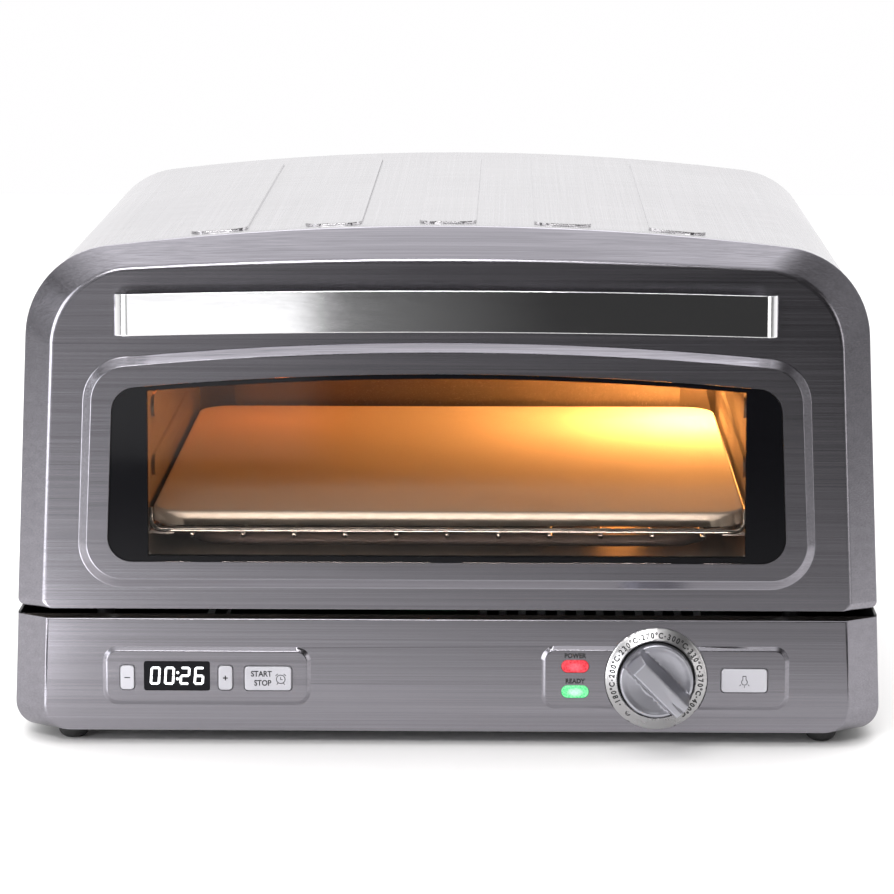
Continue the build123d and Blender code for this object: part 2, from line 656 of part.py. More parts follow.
for side in (-1, 1):
    for z in (housing_low + 39, (housing_low + housing_top) / 2 + 26):
        rear_screw_spots.append((side * (side_at(z - foot_height) - 13.5), z))
    x = 0.6 * half_width
    rear_screw_spots.append((side * x, housing_top - 9.6 - x * x / (2 * arch_radius)))
rear_screws = []
for x, z in rear_screw_spots:
    spot = Pos(x, panel_y + rear_sheet, z) * Rot(-90, 0, 0)
    hole = Pos(x, panel_y, z) * Rot(-90, 0, 0) * Cylinder(1.7, 20)
    rear -= hole
    wrap -= hole & (Pos(0, lip_y, 0) * Box(big, 6, big))
    rear_screws.append(spot * screw(3.0, 1.8, 1.5, 8))
parts["rear_screws"] = Compound(rear_screws)
parts["housing_wrap"] = wrap
parts["rear_panel"] = rear
spacers = []
for x in (86 - half_width, half_width - 86):
    body = Pos(x, panel_y + rear_sheet + wall_gap / 2, housing_top - 44) * Box(46, wall_gap, 22)
    spacers.append(fillet(body.faces().sort_by(Axis.Y)[-1].edges(), 4))
parts["rear_spacers"] = Compound(spacers)

# ---- rack and stone -------------------------------------------------------------------------
loop_z = stone_underside - rack_wire / 2
rack_y = (rack_front + rack_back) / 2
loop_path = Pos(0, rack_y, loop_z) * RectangleRounded(2 * rack_half, rack_back - rack_front, 14)
loop_wire = loop_path.faces()[0].outer_wire()
rack = sweep(Plane(origin=loop_wire @ 0, z_dir=loop_wire % 0) * Circle(rack_wire / 2), loop_wire)
rod_z = loop_z - rack_wire + 0.2
rod_length = rack_back - rack_front + 4
for i in range(rack_rod_count):
    x = (2 * i / (rack_rod_count - 1) - 1) * (rack_half - 18)
    rack += Pos(x, rack_y, rod_z) * Rot(90, 0, 0) * Cylinder(rack_wire / 2, rod_length)
for y in (-55, 50):
    rack += Pos(0, y, loop_z) * Rot(0, 90, 0) * Cylinder(rack_wire / 2, 2 * rack_half)
stop_half, stop_top = stone_half - 0.5, stone_underside + stone_thickness + 3
stop_path = FilletPolyline((-stop_half, rack_front, stop_top), (-stop_half, rack_front, loop_z),
                           (stop_half, rack_front, loop_z), (stop_half, rack_front, stop_top), radius=6)
rack += sweep(Plane(origin=stop_path @ 0, z_dir=stop_path % 0) * Circle(rack_wire / 2), stop_path)
parts["stone_rack"] = rack
stone_plan = RectangleRounded(2 * stone_half, stone_back - stone_front, stone_corner)
stone_spot = Pos(0, (stone_front + stone_back) / 2, stone_underside)
stone = extrude(stone_spot * stone_plan, amount=stone_thickness)
parts["pizza_stone"] = fillet(stone.faces().sort_by(Axis.Z)[-1].edges(), 1.5)

guide_top = loop_z - rack_wire / 2 - rack_air
guide_front, guide_back = stone_front + 2.5, cavity_back - 5
guide_y, guide_long = (guide_front + guide_back) / 2, guide_back - guide_front
for side, name in ((-1, "left"), (1, "right")):
    ledge = Pos(side * (cavity_half - 7.5), guide_y, guide_top - 1) * Box(15, guide_long, 2)
    ledge += Pos(side * (cavity_half - 0.75), guide_y, guide_top + 1) * Box(1.5, guide_long, 6)
    parts["rack_guide_" + name] = ledge

# ---- door -----------------------------------------------------------------------------------
relief = Plane.YZ.offset(-big / 2) * make_face(Polyline(
    (door_bottom - 1, inner_face - 1), (door_bottom + edge_relief, inner_face - 1),
    (door_bottom + edge_relief, inner_face), (door_bottom, inner_face + edge_relief),
    (door_bottom - 1, inner_face + edge_relief), close=True))
relief = extrude(relief, amount=big)
slot_half = arm_width / 2 + lug_air
slots = []
for x in (-hinge_x, hinge_x):
    slot_bounds = (x - slot_half, x + slot_half, door_bottom - 16, hinge_up + arm_half + 0.8)
    slots.append(slab(slot_bounds, inner_face - 5, hinge_in + arm_half + 0.6))
slots = Compound(slots)

panel_skin = door_bulk() - door_room()


def frame_outline(inset):
    """The raised frame round the window."""
    low, top = frame_bottom + inset, frame_top - inset
    half = frame_half - inset
    return arched(half, half - side_slope * (frame_top - frame_bottom), low, top, window_arch_radius,
                  frame_corner - inset, frame_corner - inset)


step_profile = rounded([(-3, 0), (0, 0), (frame_step, frame_rise), (frame_step + 3, frame_rise)],
                       [frame_edge, frame_edge])
first_reach = step_profile[1][0]
panel_skin += extrude(Pos(0, 0, -door_skin / 2) * frame_outline(first_reach), amount=door_skin / 2)
sections = [Pos(0, 0, height) * frame_outline(reach) for reach, height in step_profile[1:]]
panel_skin += loft(sections, ruled=True)
panel_skin -= extrude(Pos(0, 0, -20) * glass_outline(glass_gap), amount=40)
boss_spots = [(0, door_top - 27.6)]
for side in (-1, 1):
    for y, inset in ((door_bottom + 29.2, 26.5), (door_bottom + 0.45 * door_height, 27),
                     (door_top - 47.6, 37.7)):
        boss_spots.append((side * (side_at(y) - inset), y))
boss_end = inner_face + inner_sheet
for x, y in boss_spots:
    panel_skin += rod(x, y, 4, boss_end, -door_skin / 2)
    panel_skin -= rod(x, y, 1.55, boss_end - 1, boss_end + 12)
handle_screw_spots = []
for share in (0.36, 0.76):
    for x in (handle_foot / 2 - handle_half, handle_half - handle_foot / 2):
        handle_screw_spots.append((x, handle_low + handle_height * share - handle_arch))
for x, y in handle_screw_spots:
    panel_skin -= rod(x, y, 1.6, -5, 1)
panel_skin -= relief
panel_skin -= slots
parts["door_panel"] = on_front(panel_skin)

lining_low = door_bottom + edge_relief + 0.6
lining = arched(side_at(lining_low) - door_skin - 0.2, side_at(door_top) - door_skin - 0.2, lining_low,
                door_top - door_skin - 0.2, arch_radius, corner_radius - door_skin, 3)
lining = extrude(Pos(0, 0, inner_face) * lining, amount=inner_sheet)
inner_window = (-inner_window_half, inner_window_half, inner_window_bottom, inner_window_top)
lining -= slab(inner_window, inner_face - 5, inner_face + 5, 10)
for x, y in boss_spots:
    lining -= rod(x, y, 1.8, inner_face - 5, inner_face + 5)
lining -= slots
parts["door_lining"] = on_front(lining)
lining_screws = [Pos(x, y, inner_face) * Rot(180, 0, 0) * screw(3.0, 1.5, 1.5, 10) for x, y in boss_spots]
parts["door_screws"] = on_front(Compound(lining_screws))

glass_back = frame_rise - glass_recess - glass_thickness
pane = extrude(Pos(0, 0, glass_back) * glass_outline(), amount=glass_thickness)
parts["outer_glass"] = on_front(pane)
pane_back = inner_face + inner_sheet
inner_pane = slab(inner_window, pane_back, pane_back + inner_glass_thickness, 12, inner_glass_lap)
parts["inner_glass"] = on_front(inner_pane)
holders = []
top = pane_back + inner_glass_thickness
clip_x = inner_window_half - 45
for x in (-clip_x, 0, clip_x):
    for y, up in ((inner_window_bottom - inner_glass_lap, -1), (inner_window_top + inner_glass_lap, 1)):
        foot_box = (x - 8, x + 8, min(y, y + 7 * up), max(y, y + 7 * up))
        tab_box = (x - 8, x + 8, min(y - 4 * up, y + 7 * up), max(y - 4 * up, y + 7 * up))
        holders.append(slab(foot_box, pane_back, top) + slab(tab_box, top, top + 1.2))
clip_x = glass_half - 53
for x in (-clip_x, 0, clip_x):
    arch_drop = x * x / (2 * window_arch_radius)
    for y, low, high in ((glass_bottom, 7, 1.8), (glass_top - arch_drop, 1.8, 7)):
        holders.append(slab((x - 9, x + 9, y - low, y + high), glass_back - 1.2, glass_back))
parts["glass_clips"] = on_front(Compound(holders))

# handle: a flat arched plate whose ends bend back to feet on the door face
bend = handle_bend
corners = Polyline((-handle_half, 0), (-handle_half, handle_out), (handle_half, handle_out),
                   (handle_half, 0), close=True)
plan = make_face(corners)
plan = fillet(plan.vertices().group_by(Axis.Y)[-1], bend)
room_half = handle_half - handle_foot
corners = Polyline((-room_half, -1), (-room_half, handle_out - handle_plate),
                   (room_half, handle_out - handle_plate), (room_half, -1), close=True)
room = make_face(corners)
plan -= fillet(room.vertices().group_by(Axis.Y)[-1], bend - handle_plate)
plate_plane = Plane(origin=(0, handle_low + handle_height + 10, 0), x_dir=(1, 0, 0), z_dir=(0, -1, 0))
plate = extrude(plate_plane * plan, amount=handle_height + 20)
arch = (handle_half ** 2 + handle_arch ** 2) / (2 * handle_arch)


def handle_edge(height):
    """Upper or lower edge of the handle's band."""
    end = handle_half + 1
    return ThreePointArc((-end, height - handle_arch), (0, height), (end, height - handle_arch))


low_edge, high_edge = handle_edge(handle_low), handle_edge(handle_low + handle_height)
ends = [Line(low_edge @ 0, high_edge @ 0), Line(low_edge @ 1, high_edge @ 1)]
band = make_face([low_edge, high_edge, *ends])
handle = plate & extrude(Pos(0, 0, -1) * band, amount=handle_out + 5)
for x, y in handle_screw_spots:
    handle -= rod(x, y, 1.55, -1, 12)
parts["handle_bar"] = on_front(handle)
inward = Pos(0, 0, -door_skin) * Rot(180, 0, 0)
handle_screws = [Pos(x, y) * inward * screw(3.4, 1.8, 1.5, 12) for x, y in handle_screw_spots]
parts["handle_screws"] = on_front(Compound(handle_screws))

# hinges: an arm from the front frame reaches into the door, where two lugs carry the pin
hinge_pins = []
for side, name in ((-1, "left"), (1, "right")):
    x = side * hinge_x
    arm_bounds = (x - arm_width / 2, x + arm_width / 2, hinge_up - arm_half, hinge_up + arm_half)
    arm = slab(arm_bounds, frame_face + 1, hinge_in)
    arm += Pos(x, hinge_up, hinge_in) * Rot(0, 90, 0) * Cylinder(arm_half, arm_width)
    arm += slab((x - 9, x + 9, hinge_up - 8.5, hinge_up + 9), frame_face, frame_face + 2)
    arm -= Pos(x, hinge_up, hinge_in) * Rot(0, 90, 0) * Cylinder(pin_radius + pin_air, 20)
    parts["hinge_bracket_" + name] = on_front(arm)
    leaf = slab((x - 12, x + 12, door_bottom + door_skin + 0.4, hinge_up + 16), -door_skin - 2, -door_skin)
    for lug_side in (-1, 1):
        lug_x = x + lug_side * (slot_half + lug_width / 2)
        lug_half = lug_width / 2
        lug_bounds = (lug_x - lug_half, lug_x + lug_half, door_bottom + door_skin + 0.4, hinge_up + 7)
        leaf += slab(lug_bounds, hinge_in - 5, -door_skin - 1)
    leaf -= Pos(x, hinge_up, hinge_in) * Rot(0, 90, 0) * Cylinder(pin_radius + 0.01, 40)
    parts["hinge_leaf_" + name] = on_front(leaf)
    pin_length = 2 * (slot_half + lug_width) + 1.6
    hinge_pins.append(Pos(x, hinge_up, hinge_in) * Rot(0, 90, 0) * Cylinder(pin_radius, pin_length))
parts["hinge_pins"] = on_front(Compound(hinge_pins))

# ---- write ----------------------------------------------------------------------------------
os.makedirs("parts", exist_ok=True)
for name, shape in parts.items():
    solids = shape.solids()
    export_step(solids[0] if len(solids) == 1 else Compound(solids), "parts/" + name + ".step")
whole = Compound([solid for shape in parts.values() for solid in shape.solids()]).bounding_box()
print(len(parts), "nodes", whole.min, whole.max)
axis_point = front_plane.location * Vertex(0, hinge_up, hinge_in)
print("door axis", axis_point.center())
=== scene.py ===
import bpy
import json
import math
from mathutils import Matrix, Vector

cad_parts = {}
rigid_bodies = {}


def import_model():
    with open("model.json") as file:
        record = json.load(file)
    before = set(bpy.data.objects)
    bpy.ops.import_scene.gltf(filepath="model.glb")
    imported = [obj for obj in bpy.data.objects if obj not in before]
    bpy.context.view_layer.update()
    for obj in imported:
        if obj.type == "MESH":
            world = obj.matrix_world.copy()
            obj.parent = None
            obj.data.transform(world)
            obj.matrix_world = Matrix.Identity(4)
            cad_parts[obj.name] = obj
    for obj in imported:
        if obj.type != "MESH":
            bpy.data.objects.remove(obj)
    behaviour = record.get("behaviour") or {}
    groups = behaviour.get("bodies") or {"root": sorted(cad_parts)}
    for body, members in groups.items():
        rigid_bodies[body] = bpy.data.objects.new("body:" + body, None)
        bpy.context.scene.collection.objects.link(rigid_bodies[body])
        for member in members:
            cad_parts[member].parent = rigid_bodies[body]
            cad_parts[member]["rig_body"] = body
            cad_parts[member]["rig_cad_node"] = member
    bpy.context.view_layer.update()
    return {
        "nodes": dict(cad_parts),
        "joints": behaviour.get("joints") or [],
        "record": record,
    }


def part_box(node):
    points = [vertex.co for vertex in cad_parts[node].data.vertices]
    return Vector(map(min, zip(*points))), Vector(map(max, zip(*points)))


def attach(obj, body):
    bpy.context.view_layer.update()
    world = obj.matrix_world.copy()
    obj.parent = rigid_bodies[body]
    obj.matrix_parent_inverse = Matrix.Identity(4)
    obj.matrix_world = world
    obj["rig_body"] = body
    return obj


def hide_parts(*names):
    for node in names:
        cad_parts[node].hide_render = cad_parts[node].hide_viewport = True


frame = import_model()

scene = bpy.context.scene
nodes = frame["nodes"]
record = frame["record"]
bodyOf = {node: body for body, members in record["behaviour"]["bodies"].items() for node in members}
slotOf = {part["node"]: part["material_slot"] for part in record["subparts"]}
joints = {joint["name"]: joint for joint in frame["joints"]}
mm = 0.001

# the leaning front: its origin is where the knob's axis meets the fascia
outward = Vector(joints["knob_turn"]["axis"]).normalized()
rightward = Vector((1, 0, 0))
upward = outward.cross(rightward)
leaning = Matrix((rightward, upward, outward)).transposed().to_4x4()
frontFrame = Matrix.Translation(Vector(joints["knob_turn"]["pos_m"])) @ leaning

# ---- camera and lights ----
cameraSet = {"place": (0.0340, -2.0326, 0.5190), "down": 10.95, "left": 1.048, "lens": 140.46, "sensor": 36}
camera = bpy.data.objects.new("camera", bpy.data.cameras.new("camera"))
camera.data.lens = cameraSet["lens"]
camera.data.sensor_width = cameraSet["sensor"]
camera.location = cameraSet["place"]
camera.rotation_euler = (math.radians(90 - cameraSet["down"]), 0, math.radians(cameraSet["left"]))
scene.collection.objects.link(camera)
scene.camera = camera
scene.view_settings.view_transform = "Standard"

lightSet = [
    {"name": "overheadBox", "at": (0.0, 0.5, 1.7), "aim": (0, 0.1, 0.2), "size": (2.4, 1.4),
     "power": 30, "colour": (1.0, 0.985, 0.99)},
    {"name": "leftBox", "at": (-1.5, -1.3, 0.56), "aim": (-0.2, -0.2, 0.56), "size": (0.8, 1.1),
     "power": 15.0, "colour": (0.97, 0.98, 1.0)},
    {"name": "leftLow", "at": (-0.43, -0.53, 0.006), "aim": (-0.43, -0.52, 1.0), "size": (0.32, 0.36),
     "power": 2.4, "colour": (0.98, 0.98, 1.0), "hidden": True},
    {"name": "rightFill", "at": (1.35, -1.25, 0.42), "aim": (0.2, -0.2, 0.42), "size": (0.35, 0.84),
     "power": 2.4, "colour": (1.0, 0.98, 0.97)},
    {"name": "frontKey", "at": (-0.25, -1.38, 1.02), "aim": (0, -0.15, 0.12), "size": (0.7, 0.25),
     "power": 9, "colour": (1.0, 0.99, 0.98)},
]
# a low strip behind the glass picks out the front edge of the stone
stripSet = {"ahead": 8 * mm, "rise": 6 * mm, "aimRise": 3 * mm}
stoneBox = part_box("pizza_stone")
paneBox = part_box("inner_glass")
lightSet.append({
    "name": "lowStrip", "at": (0, paneBox[0].y - stripSet["ahead"], paneBox[0].z + stripSet["rise"]),
    "aim": (0, stoneBox[0].y, stoneBox[1].z + stripSet["aimRise"]), "size": (0.31, 5 * mm),
    "power": 0.22, "colour": (1.0, 0.90, 0.86), "hidden": True})
# warm lights inside: the oven's lamp, and the glow of the elements
lampSet = {"inside": 12 * mm}
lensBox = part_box("lamp_lens")
lightSet += [
    {"name": "ovenLamp", "at": (lensBox[0].x - lampSet["inside"], (lensBox[0].y + lensBox[1].y) / 2,
                                (lensBox[0].z + lensBox[1].z) / 2),
     "radius": 9 * mm, "power": 3.2, "colour": (1.0, 0.43, 0.115)},
    {"name": "leftGlow", "at": (-0.110, 0.120, 0.196), "radius": 9 * mm, "power": 0.12,
     "colour": (1.0, 0.20, 0.02)},
    {"name": "underGlow", "at": (0.100, 0.020, 0.101), "radius": 9 * mm, "power": 0.15,
     "colour": (1.0, 0.36, 0.07)},
]


def hang(settings):
    # a rectangular light aimed at a point, or a small round one
    flat = "size" in settings
    lamp = bpy.data.lights.new(settings["name"], "AREA" if flat else "POINT")
    lamp.energy = settings["power"]
    lamp.color = settings["colour"]
    holder = bpy.data.objects.new(settings["name"], lamp)
    holder.location = settings["at"]
    scene.collection.objects.link(holder)
    if flat:
        lamp.shape = "RECTANGLE"
        lamp.size, lamp.size_y = settings["size"]
        toward = Vector(settings["aim"]) - Vector(settings["at"])
        holder.rotation_euler = toward.to_track_quat("-Z", "Y").to_euler()
        holder.visible_camera = not settings.get("hidden", False)
    else:
        lamp.shadow_soft_size = settings["radius"]


for settings in lightSet:
    hang(settings)
print("stage: camera and lights", len(lightSet))


# ---- shader nodes ----
class Wire:
    # wraps a socket, so that shader maths is written as sums
    def __init__(self, tree, socket):
        self.tree = tree
        self.socket = socket

    def maths(self, operation, first, second=0.0, clamp=False):
        node = self.tree.nodes.new("ShaderNodeMath")
        node.operation = operation
        node.use_clamp = clamp
        for place, value in zip(node.inputs, (first, second)):
            if isinstance(value, Wire):
                self.tree.links.new(value.socket, place)
            else:
                place.default_value = value
        return Wire(self.tree, node.outputs[0])

    def __add__(self, other):
        return self.maths("ADD", self, other)

    def __radd__(self, other):
        return self.maths("ADD", other, self)

    def __sub__(self, other):
        return self.maths("SUBTRACT", self, other)

    def __rsub__(self, other):
        return self.maths("SUBTRACT", other, self)

    def __mul__(self, other):
        return self.maths("MULTIPLY", self, other)

    def __rmul__(self, other):
        return self.maths("MULTIPLY", other, self)

    def __truediv__(self, other):
        return self.maths("DIVIDE", self, other)

    def __rtruediv__(self, other):
        return self.maths("DIVIDE", other, self)

    def __pow__(self, other):
        return self.maths("POWER", self, other)

    def __neg__(self):
        return self.maths("MULTIPLY", self, -1.0)

    def size(self):
        return self.maths("ABSOLUTE", self)

    def most(self, other):
        return self.maths("MAXIMUM", self, other)

    def clamped(self):
        return self.maths("ADD", self, 0.0, True)

    def above(self, edge, soft):
        # 0 below the edge, 1 above it, with a step as wide as soft
        return self.maths("ADD", (self - edge) / soft, 0.5, True)

    def below(self, edge, soft):
        return 1.0 - self.above(edge, soft)


class Tree:
    # node() makes any node of a material or of the world
    def __init__(self, owner):
        owner.use_nodes = True
        self.tree = owner.node_tree

    def feed(self, node, socket, value):
        place = node.inputs[socket]
        if isinstance(value, Wire):
            self.tree.links.new(value.socket, place)
        elif isinstance(value, tuple) and len(value) == 3 and place.type == "RGBA":
            place.default_value = (*value, 1)
        else:
            place.default_value = value

    def node(self, kind, settings=None, inputs=None, output=0):
        made = self.tree.nodes.new("ShaderNode" + kind)
        for name, value in (settings or {}).items():
            setattr(made, name, value)
        for socket, value in (inputs or {}).items():
            self.feed(made, socket, value)
        return Wire(self.tree, made.outputs[output])

    def axes(self, coordinates):
        # the three coordinates one by one
        split = self.node("SeparateXYZ", inputs={"Vector": self.node("TexCoord", output=coordinates)})
        return [Wire(self.tree, place) for place in split.socket.node.outputs]


class Finish(Tree):
    # one material: shader is its Principled BSDF
    def __init__(self, name, **values):
        self.material = bpy.data.materials.new(name)
        super().__init__(self.material)
        self.shader = self.tree.nodes["Principled BSDF"]
        self.set(**values)

    def set(self, **values):
        for socket, value in values.items():
            self.feed(self.shader, socket.replace("_", " "), value)
        return self

    def coords(self, stretch=(1, 1, 1)):
        place = self.node("TexCoord", output="Object")
        return self.node("Mapping", inputs={"Vector": place, "Scale": stretch})

    def noise(self, scale, stretch=(1, 1, 1), detail=3.0, roughness=0.5):
        return self.node("TexNoise", inputs={"Vector": self.coords(stretch), "Scale": scale,
                                             "Detail": detail, "Roughness": roughness})

    def mix(self, share, first, second):
        # inputs 6 and 7 are the two colours, output 2 is the mixed one
        return self.node("Mix", {"data_type": "RGBA"}, {0: share, 6: first, 7: second}, output=2)

    def bump(self, height, strength, distance, edge=None):
        inputs = {"Height": height, "Strength": strength, "Distance": distance}
        if edge:
            inputs["Normal"] = self.node("Bevel", {"samples": 6}, {"Radius": edge})
        return self.node("Bump", inputs=inputs)


def tinted(colour, share, lift=0.0):
    return tuple(min(1.0, part * share + lift) for part in colour)


# ---- finishes ----
grainSet = {"long": (1.2, 260, 260), "dark": 0.78, "light": 1.25, "clouds": 5.0, "depth": 0.0002}


def brushed(name, colour, rough, grain, along=(4, 1300, 1300), streak=0.16):
    # rolled sheet with a fine grain, a few longer streaks, and faint handling marks
    finish = Finish(name, Metallic=1.0)
    fine = finish.noise(1.0, along, detail=4.0, roughness=0.65)
    long = finish.noise(1.0, grainSet["long"], roughness=0.6)
    cloud = finish.noise(grainSet["clouds"])
    drawn = fine * 0.7 + long * 0.3
    dark, light = tinted(colour, grainSet["dark"]), tinted(colour, grainSet["light"])
    tone = finish.mix(drawn.above(0.5, 0.4), dark, light)
    finish.set(Base_Color=tone, Roughness=(rough + (fine - 0.5) * streak + (cloud - 0.5) * 0.10).clamped())
    return finish.set(Normal=finish.bump(drawn, grain, grainSet["depth"]))


def polished(name, colour, rough, edge=0.0005):
    # bright polish with faint smears
    finish = Finish(name, Base_Color=colour, Metallic=1.0)
    smear = finish.noise(9.0, (1, 4, 4), detail=4.0, roughness=0.6)
    speck = finish.noise(420.0, detail=2.0)
    finish.set(Roughness=(rough + (smear - 0.45).clamped() * 0.12 + (speck - 0.5) * 0.02).clamped())
    return finish.set(Normal=finish.bump(smear, 0.03, 0.001, edge))


def coated(name, colour, rough, peelScale=900.0, peelDepth=0.25):
    # powder coat or moulded plastic: orange peel, soft tone changes, lighter worn spots
    finish = Finish(name)
    peel = finish.noise(peelScale, roughness=0.55)
    cloud = finish.noise(14.0, detail=4.0, roughness=0.6)
    finish.set(Base_Color=finish.mix(cloud, tinted(colour, 0.8), tinted(colour, 1.25, 0.004)))
    finish.set(Roughness=(rough + (cloud - 0.5) * 0.12 + (peel - 0.5) * 0.08).clamped())
    return finish.set(Normal=finish.bump(peel, peelDepth, 0.0004, 0.0006))


def enamelled():
    # cavity lining: grey coated steel with fine specks and baked-on haze
    finish = Finish("liner_enamel", Metallic=0.75)
    speck = finish.noise(1500.0, detail=2.0)
    haze = finish.noise(11.0, (1, 1, 1.6), detail=5.0, roughness=0.6)
    tone = finish.mix(haze, (0.13, 0.11, 0.095), (0.27, 0.24, 0.21))
    tone = finish.mix(speck.above(0.66, 0.05) * 0.5, tone, (0.62, 0.6, 0.57))
    finish.set(Base_Color=tone, Roughness=(0.33 + haze * 0.22).clamped())
    return finish.set(Normal=finish.bump(speck, 0.12, 0.0003, 0.0012))


def stoneFinish():
    # unglazed cordierite: fine pores, sand specks and light baking marks on top
    finish = Finish("cordierite")
    pores = finish.node("TexVoronoi", inputs={"Vector": finish.coords(), "Scale": 640.0})
    sand = finish.noise(1900.0, roughness=0.6)
    bake = finish.noise(9.0, detail=5.0, roughness=0.62)
    pit = pores.below(0.16, 0.2)
    tone = finish.mix(sand, (0.74, 0.68, 0.60), (0.90, 0.86, 0.79))
    tone = finish.mix((bake - 0.52).clamped() * 1.2, tone, (0.60, 0.49, 0.37))
    tone = finish.mix(pit * 0.35, tone, (0.48, 0.42, 0.35))
    finish.set(Base_Color=tone, Roughness=(0.86 + sand * 0.1).clamped())
    return finish.set(Normal=finish.bump(sand * 0.5 - pit, 0.35, 0.0004, 0.0008))


def sheath():
    # heating tube, darkened and slightly scaled by heat
    finish = Finish("element_sheath", Metallic=0.85)
    scale = finish.noise(160.0, detail=5.0, roughness=0.65)
    band = finish.noise(14.0, detail=2.0)
    tone = finish.mix(scale, (0.05, 0.045, 0.042), (0.21, 0.17, 0.14))
    tone = finish.mix(band * 0.35, tone, (0.15, 0.12, 0.16))
    finish.set(Base_Color=tone, Roughness=(0.38 + scale * 0.3).clamped())
    return finish.set(Normal=finish.bump(scale, 0.3, 0.0003))


def glowing(name, node, deep, bright, strength):
    # lit lens: ribbed inside, brightest in its middle
    finish = Finish(name, Base_Color=tinted(deep, 0.5), Roughness=0.12, Coat_Weight=0.6)
    low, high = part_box(node)
    across, _, tall = finish.axes("Object")
    across = (across - (low.x + high.x) / 2) / ((high.x - low.x) / 2)
    tall = (tall - (low.z + high.z) / 2) / ((high.z - low.z) / 2)
    cell = finish.node("TexVoronoi", inputs={"Vector": finish.coords(), "Scale": 900.0})
    core = (across ** 2.0 + tall ** 2.0 * 0.8).below(0.14, 0.55)
    finish.set(Emission_Color=finish.mix((core * 0.8 + cell * 0.4).clamped(), deep, bright))
    finish.set(Emission_Strength=strength)
    return finish.set(Normal=finish.bump(cell, 0.4, 0.0003, 0.0004))


def woolFinish():
    # matted fibres with soft lumps
    finish = Finish("wool")
    fibre = finish.noise(700.0, (1, 1, 5), detail=5.0, roughness=0.7)
    lump = finish.noise(60.0, roughness=0.6)
    finish.set(Base_Color=finish.mix(fibre, (0.62, 0.58, 0.50), (0.92, 0.90, 0.84)))
    finish.set(Roughness=(0.9 + fibre * 0.1).clamped())
    return finish.set(Normal=finish.bump(fibre + lump, 0.8, 0.0015))


def boardFinish():
    # solder mask with tracks and pads
    finish = Finish("board")
    track = finish.node("TexBrick", inputs={
        "Vector": finish.coords((160, 160, 160)), "Color1": (0.02, 0.16, 0.07), "Color2": (0.03, 0.22, 0.09),
        "Mortar": (0.05, 0.34, 0.14), "Scale": 1.0})
    grime = finish.noise(90.0, roughness=0.6)
    finish.set(Base_Color=track, Roughness=(0.32 + grime * 0.2).clamped())
    return finish.set(Normal=finish.bump(grime, 0.15, 0.0003, 0.0004))


def displayFinish():
    # dark display glass with faint dust and little glare
    finish = Finish("window_black", Base_Color=(0.005, 0.005, 0.007), Specular_IOR_Level=0.12)
    dust = finish.noise(60.0, detail=4.0, roughness=0.6)
    return finish.set(Roughness=(0.10 + dust * 0.12).clamped(), Normal=finish.bump(dust, 0.02, 0.0004))


paneSet = {"tint": (0.89, 0.875, 0.86), "dustTone": (0.25, 0.24, 0.23), "dust": 0.012, "ior": 1.45}
borderSet = {"clearHalf": 160.9 * mm, "top": 2.4 * mm, "foot": 3.2 * mm, "archRadius": 1.86, "soft": 0.5 * mm}


def glassFinish(name, shine, border=None):
    # clear pane; the outer one has a black border printed round the view
    finish = Finish(name, Base_Color=(0.004, 0.004, 0.005), Specular_IOR_Level=0.2)
    dust = finish.noise(30.0, detail=5.0, roughness=0.65)
    finish.set(Roughness=(0.03 + dust * 0.05).clamped())
    clear = finish.node("BsdfTransparent", inputs={"Color": paneSet["tint"]})
    gloss = finish.node("BsdfGlossy", inputs={"Color": (1.0, 1.0, 1.0),
                                              "Roughness": (0.02 + dust * 0.03).clamped()})
    film = finish.node("BsdfDiffuse", inputs={"Color": paneSet["dustTone"]})
    mirrored = (finish.node("Fresnel", inputs={"IOR": paneSet["ior"]}) * shine).clamped()
    pane = finish.node("MixShader", inputs={0: mirrored, 1: clear, 2: gloss})
    pane = finish.node("MixShader", inputs={0: (dust - 0.35).clamped() * paneSet["dust"], 1: pane, 2: film})
    if border:
        low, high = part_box("outer_glass")
        across, _, height = finish.axes("Object")
        side = across.size() - border["clearHalf"]
        top = height + across ** 2.0 / (2 * border["archRadius"]) - (high.z - border["top"])
        foot = low.z + border["foot"] - height
        printed = side.most(top).most(foot).above(0.0, border["soft"])
        ink = Wire(finish.tree, finish.shader.outputs[0])
        pane = finish.node("MixShader", inputs={0: printed, 1: pane, 2: ink})
    finish.feed(finish.tree.nodes["Material Output"], "Surface", pane)
    return finish


